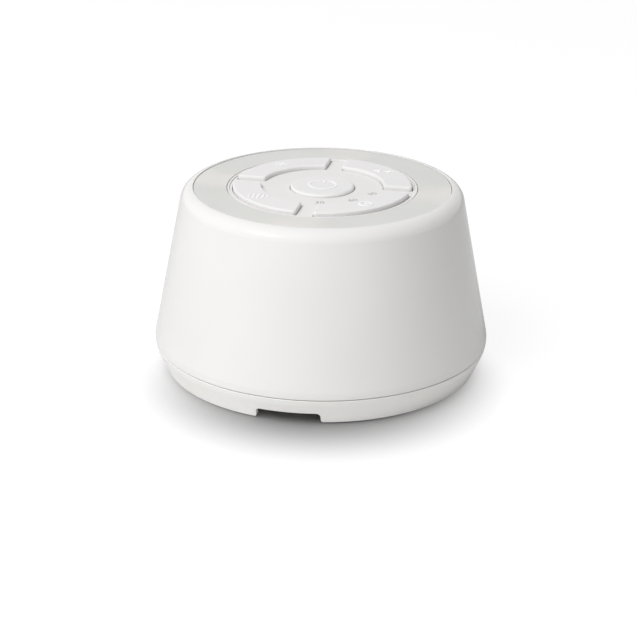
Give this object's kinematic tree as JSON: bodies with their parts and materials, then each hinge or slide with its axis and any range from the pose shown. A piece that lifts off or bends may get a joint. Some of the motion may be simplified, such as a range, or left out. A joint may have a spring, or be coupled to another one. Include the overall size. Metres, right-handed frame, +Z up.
{
  "type": "white noise sound machine",
  "caption": "Small tapered white sound machine with a milky light ring, curved push keys round a power key, and a downward speaker.",
  "frame": {"origin": "on the standing plane under the middle of the base", "axes": "+Z up through the power key, front with the sound notch towards -Y, charging port towards +Y"},
  "size_m": [0.1102, 0.1102, 0.0619],
  "materials": {
    "white_gloss": "glossy moulded white",
    "white_satin": "satin moulded white",
    "foot_rubber": "soft pale grey rubber",
    "screw_steel": "zinc-plated steel",
    "milky_plastic": "translucent milky, satin",
    "panel_white": "satin moulded white",
    "key_white": "satin moulded white",
    "board_green": "green solder mask",
    "switch_black": "moulded black",
    "plunger_white": "moulded off-white",
    "led_yellow": "white package with phosphor window",
    "chip_black": "moulded epoxy",
    "connector_white": "moulded nylon",
    "ribbon_grey": "flat cable insulation",
    "ferrite_grey": "sintered ferrite",
    "capacitor_can": "drawn can",
    "ceramic_tan": "fired ceramic",
    "socket_steel": "stamped stainless shell",
    "socket_black": "moulded contact tongue",
    "cell_foil": "laminated foil pouch",
    "foam_grey": "closed-cell foam",
    "wire_red": "soft insulation",
    "wire_black": "soft insulation",
    "basket_steel": "black coated pressed steel",
    "zinc_steel": "zinc-plated steel",
    "terminal_brown": "phenolic strip",
    "cone_paper": "pressed paper pulp",
    "cap_paper": "pressed paper pulp",
    "former_foil": "film former",
    "coil_copper": "enamelled copper wire",
    "surround_rubber": "butyl half roll",
    "spider_cloth": "resin-stiffened cotton",
    "mesh_cloth": "open woven acoustic cloth"
  },
  "bodies": {
    "housing": {"main_shell": "white_gloss", "base_cover": "white_satin", "rubber_feet": "foot_rubber", "base_screws": "screw_steel", "light_diffuser": "milky_plastic", "light_tray": "white_satin", "tray_screws": "screw_steel", "control_panel": "panel_white", "panel_screws": "screw_steel", "key_board": "board_green", "key_board_screws": "screw_steel", "key_switches": "switch_black", "ring_leds": "led_yellow", "led_driver_chip": "chip_black", "key_board_connector": "connector_white", "ribbon_cable": "ribbon_grey", "ribbon_connector": "connector_white", "main_board": "board_green", "main_board_screws": "screw_steel", "main_controller_chip": "chip_black", "sound_memory_chip": "chip_black", "amplifier_chip": "chip_black", "power_inductor": "ferrite_grey", "buffer_capacitor": "capacitor_can", "board_passives": "ceramic_tan", "usb_socket_shell": "socket_steel", "usb_socket_tongue": "socket_black", "battery_cell": "cell_foil", "battery_foam_pad": "foam_grey", "battery_protection_board": "board_green", "battery_connector": "connector_white", "battery_lead_red": "wire_red", "battery_lead_black": "wire_black", "speaker_basket": "basket_steel", "speaker_top_plate": "zinc_steel", "speaker_magnet": "ferrite_grey", "speaker_yoke": "zinc_steel", "speaker_gasket": "foam_grey", "speaker_screws": "screw_steel", "speaker_terminal_strip": "terminal_brown", "speaker_connector": "connector_white", "speaker_lead_red": "wire_red", "speaker_lead_black": "wire_black", "speaker_surround": "surround_rubber", "speaker_spider": "spider_cloth", "acoustic_mesh": "mesh_cloth"},
    "key_front_left_unit": {"key_front_left": "key_white", "plunger_front_left": "plunger_white"},
    "key_front_right_unit": {"key_front_right": "key_white", "plunger_front_right": "plunger_white"},
    "key_back_left_unit": {"key_back_left": "key_white", "plunger_back_left": "plunger_white"},
    "key_back_right_unit": {"key_back_right": "key_white", "plunger_back_right": "plunger_white"},
    "power_key_unit": {"power_key": "key_white", "plunger_power": "plunger_white"},
    "cone_unit": {"speaker_cone": "cone_paper", "speaker_dust_cap": "cap_paper", "voice_coil_former": "former_foil", "voice_coil": "coil_copper"}
  },
  "joints": [
    {"name": "press_key_front_left", "type": "slide", "parent": "housing", "child": "key_front_left_unit", "axis": [0, 0, -1], "range_m": [0, 0.0005], "stiffness_N_per_m": 1500, "springref_m": -0.0004},
    {"name": "press_key_front_right", "type": "slide", "parent": "housing", "child": "key_front_right_unit", "axis": [0, 0, -1], "range_m": [0, 0.0005], "stiffness_N_per_m": 1500, "springref_m": -0.0004},
    {"name": "press_key_back_left", "type": "slide", "parent": "housing", "child": "key_back_left_unit", "axis": [0, 0, -1], "range_m": [0, 0.0005], "stiffness_N_per_m": 1500, "springref_m": -0.0004},
    {"name": "press_key_back_right", "type": "slide", "parent": "housing", "child": "key_back_right_unit", "axis": [0, 0, -1], "range_m": [0, 0.0005], "stiffness_N_per_m": 1500, "springref_m": -0.0004},
    {"name": "press_power_key", "type": "slide", "parent": "housing", "child": "power_key_unit", "axis": [0, 0, -1], "range_m": [0, 0.0005], "stiffness_N_per_m": 1500, "springref_m": -0.0004},
    {"name": "cone_stroke", "type": "slide", "parent": "housing", "child": "cone_unit", "axis": [0, 0, 1], "range_m": [-0.001, 0.001], "stiffness_N_per_m": 1200, "deforming": ["speaker_surround", "speaker_spider"]}
  ]
}
